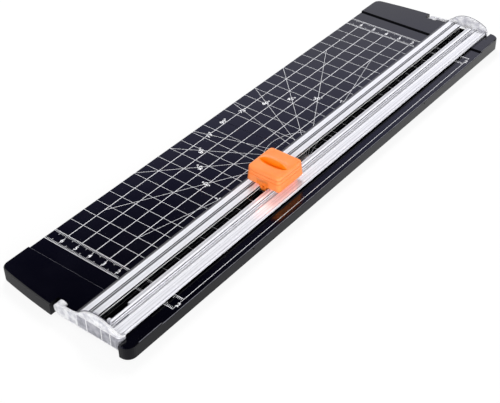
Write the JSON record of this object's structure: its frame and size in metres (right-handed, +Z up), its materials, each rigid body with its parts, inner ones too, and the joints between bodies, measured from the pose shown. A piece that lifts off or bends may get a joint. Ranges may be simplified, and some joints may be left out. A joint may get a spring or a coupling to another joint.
{
  "type": "paper cutter",
  "caption": "Sliding paper trimmer: a low black base with a printed measuring deck, a clear hinged rail that clamps the paper, and a sprung orange press-down cutter that runs along it.",
  "frame": {"origin": "at table height, under the middle of the base", "axes": "+Z up, +Y along the rail and away from the user, +X across the base towards the rail's side"},
  "size_m": [0.093, 0.358, 0.0254],
  "materials": {
    "black_plastic": "satin moulded plastic, faint grain",
    "grey_strip": "matte extruded strip",
    "foot_rubber": "matte",
    "steel": "ground and polished",
    "clear_plastic": "clear, glossy, slightly milky",
    "orange_plastic": "satin moulded plastic"
  },
  "bodies": {
    "base": {"base": "black_plastic", "cutting_mat": "grey_strip", "near_left_foot": "foot_rubber", "near_right_foot": "foot_rubber", "middle_left_foot": "foot_rubber", "middle_right_foot": "foot_rubber", "far_left_foot": "foot_rubber", "far_right_foot": "foot_rubber", "near_hinge_pin": "steel", "far_hinge_pin": "steel"},
    "rail": {"rail": "clear_plastic", "near_end_cap": "clear_plastic", "far_end_cap": "clear_plastic"},
    "slider": {"cutter_slider": "orange_plastic", "left_spring": "steel", "right_spring": "steel"},
    "head": {"cutter_head": "orange_plastic", "blade_holder": "orange_plastic", "blade": "steel", "blade_pin": "steel"}
  },
  "joints": [
    {"name": "rail_hinge", "type": "hinge", "parent": "base", "child": "rail", "pos_m": [-0.0021, 0, 0.0056], "axis": [0, -1, 0], "range_deg": [0, 100]},
    {"name": "cutter_slide", "type": "slide", "parent": "rail", "child": "slider", "axis": [0, 1, 0], "range_m": [-0.124, 0.1955]},
    {"name": "head_press", "type": "slide", "parent": "slider", "child": "head", "axis": [0, 0, -1], "range_m": [0, 0.0013], "stiffness_N_per_m": 1200, "springref_m": -0.002, "deforming": ["left_spring", "right_spring"]}
  ]
}
